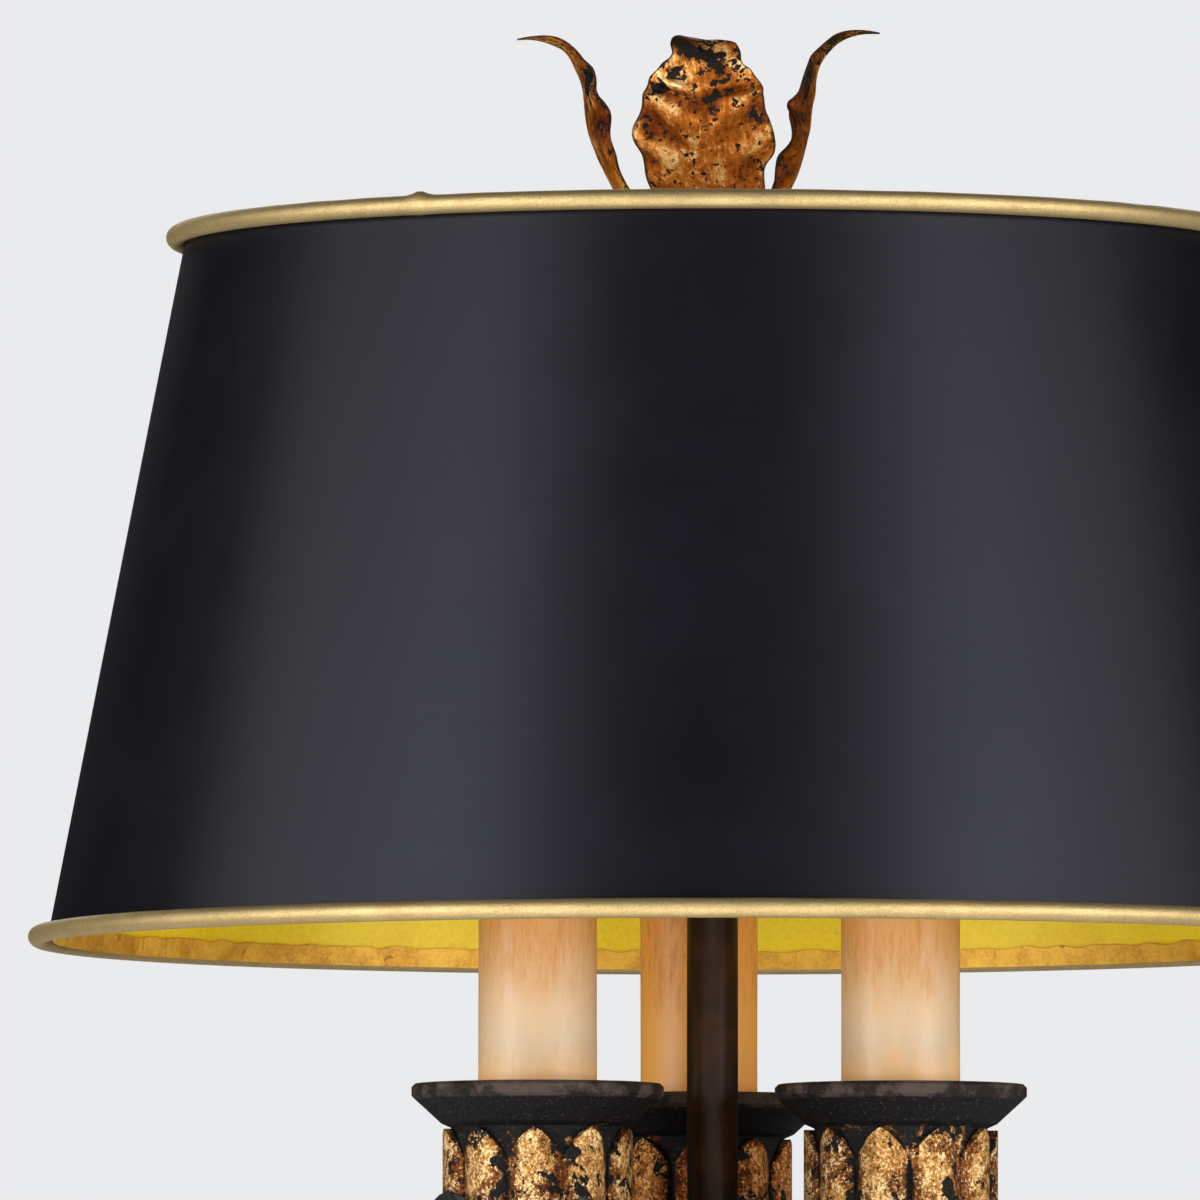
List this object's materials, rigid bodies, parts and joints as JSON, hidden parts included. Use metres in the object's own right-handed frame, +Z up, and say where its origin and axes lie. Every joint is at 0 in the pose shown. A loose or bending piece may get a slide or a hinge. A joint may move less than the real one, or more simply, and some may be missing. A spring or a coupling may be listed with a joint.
{
  "type": "wall light",
  "caption": "Wall light with candle cups in a leaf bowl under a tapered round shade, held by a leaf finial on a rod, on a swan-neck arm with a long oval back plate.",
  "frame": {"origin": "middle of the wall strap's two screw slots, on the wall's plane", "axes": "+Y into the wall, -Y out towards the room, +Z up, +X to the right as seen from the room"},
  "size_m": [0.254, 0.282, 0.419],
  "materials": {
    "black_iron": "satin black",
    "zinc_steel": "zinc plated",
    "gilt_metal": "worn gold leaf",
    "gilt_leaf": "worn gold leaf over black",
    "plain_brass": "plain brass",
    "cup_iron": "satin black with gold leaf on the reeds",
    "ground_green": "green",
    "white_plastic": "white",
    "dark_phenolic": "dark moulding",
    "wax_sleeve": "honey wax",
    "cap_metal": "nickel plated",
    "clear_glass": "clear",
    "filament": "yellow",
    "black_card": "satin black",
    "gold_foil": "gold foil",
    "gold_cord": "antique gold",
    "gold_tape": "orange gold"
  },
  "bodies": {
    "base": {"back_plate": "black_iron", "arm_tube": "black_iron", "hub": "black_iron", "bowl": "black_iron", "bowl_leaves": "black_iron", "candle_deck": "black_iron", "rod_lock_nut": "black_iron", "centre_rod": "black_iron", "wall_strap": "zinc_steel", "strap_studs": "zinc_steel", "stud_nuts": "zinc_steel", "arm_lock_nut": "zinc_steel", "deck_spacer": "zinc_steel", "socket_nuts": "zinc_steel", "socket_nipple_1": "zinc_steel", "socket_nipple_2": "zinc_steel", "socket_nipple_3": "zinc_steel", "plate_bead": "gilt_metal", "arm_collar": "gilt_metal", "stem_knop": "gilt_metal", "finial_stud": "plain_brass", "spider_seat": "plain_brass", "candle_cup_1": "cup_iron", "candle_cup_2": "cup_iron", "candle_cup_3": "cup_iron", "ground_screw": "ground_green", "terminal_block": "white_plastic", "wire_bushing": "white_plastic", "lamp_socket_1": "dark_phenolic", "lamp_socket_2": "dark_phenolic", "lamp_socket_3": "dark_phenolic", "candle_sleeve_1": "wax_sleeve", "candle_sleeve_2": "wax_sleeve", "candle_sleeve_3": "wax_sleeve"},
    "shade": {"shade_card": "black_card", "shade_lining": "gold_foil", "bottom_bead": "gold_cord", "top_bead": "gold_cord", "bottom_hem": "gold_tape", "top_hem": "gold_tape", "shade_spider": "plain_brass"},
    "finial": {"finial_seat": "gilt_leaf", "finial_leaf_front": "gilt_leaf", "finial_leaf_right": "gilt_leaf", "finial_leaf_back": "gilt_leaf", "finial_leaf_left": "gilt_leaf"},
    "lamp_1": {"lamp_cap_1": "cap_metal", "lamp_glass_1": "clear_glass", "lamp_filament_1": "filament"},
    "lamp_2": {"lamp_cap_2": "cap_metal", "lamp_glass_2": "clear_glass", "lamp_filament_2": "filament"},
    "lamp_3": {"lamp_cap_3": "cap_metal", "lamp_glass_3": "clear_glass", "lamp_filament_3": "filament"},
    "upper_nut": {"cap_nut_upper": "gilt_metal"},
    "lower_nut": {"cap_nut_lower": "gilt_metal"}
  },
  "joints": [
    {"name": "shade_turn", "type": "hinge", "parent": "base", "child": "shade", "pos_m": [0, -0.155, 0.2707], "axis": [0, 0, 1], "continuous": true},
    {"name": "finial_turn", "type": "hinge", "parent": "base", "child": "finial", "pos_m": [0, -0.155, 0.2723], "axis": [0, 0, 1], "range_deg": [0, 1080]},
    {"name": "lamp_1_turn", "type": "hinge", "parent": "base", "child": "lamp_1", "pos_m": [-0.0336, -0.1744, 0.1752], "axis": [0, 0, 1], "range_deg": [0, 1080]},
    {"name": "lamp_2_turn", "type": "hinge", "parent": "base", "child": "lamp_2", "pos_m": [0.0336, -0.1744, 0.1752], "axis": [0, 0, 1], "range_deg": [0, 1080]},
    {"name": "lamp_3_turn", "type": "hinge", "parent": "base", "child": "lamp_3", "pos_m": [0, -0.1162, 0.1752], "axis": [0, 0, 1], "range_deg": [0, 1080]},
    {"name": "upper_nut_turn", "type": "hinge", "parent": "base", "child": "upper_nut", "pos_m": [0, -0.016, 0.07], "axis": [0, -1, 0], "range_deg": [0, 1080]},
    {"name": "lower_nut_turn", "type": "hinge", "parent": "base", "child": "lower_nut", "pos_m": [0, -0.016, -0.07], "axis": [0, -1, 0], "range_deg": [0, 1080]}
  ]
}
